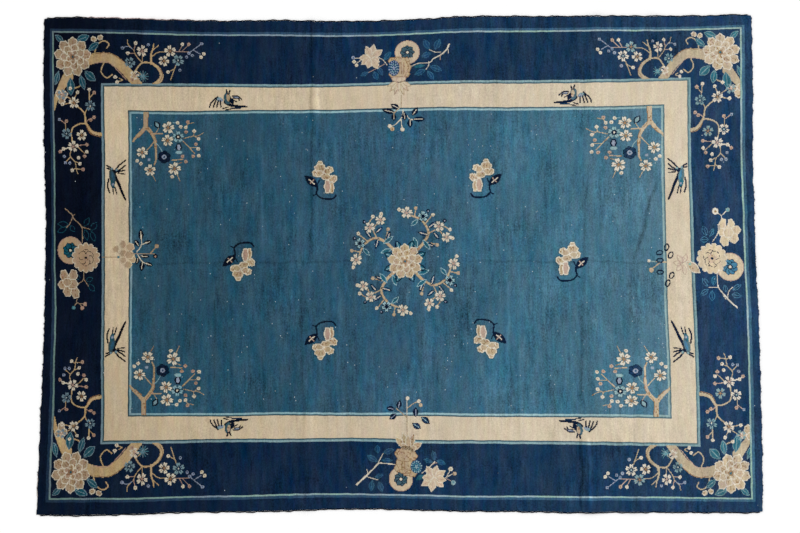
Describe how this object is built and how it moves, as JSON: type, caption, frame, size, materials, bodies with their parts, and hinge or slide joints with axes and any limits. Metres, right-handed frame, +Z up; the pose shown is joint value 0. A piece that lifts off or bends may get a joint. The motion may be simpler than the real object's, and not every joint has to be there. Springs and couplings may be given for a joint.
{
  "type": "hand-knotted rug",
  "caption": "Flat rectangular wool carpet with uneven hand-woven edges, overcast side cords and low storage folds.",
  "frame": {"origin": "on the floor, under the middle of the carpet's bounding box", "axes": "+X along the carpet's length, +Y across its width towards the far side cord, +Z up out of the pile"},
  "size_m": [3.6286, 2.5141, 0.0145],
  "materials": {
    "wool_pile": "matt worn wool pile",
    "cord_yarn": "matt overcast wool yarn"
  },
  "bodies": {
    "root": {"carpet": "wool_pile", "side_cord_far": "cord_yarn", "side_cord_near": "cord_yarn"}
  },
  "joints": []
}
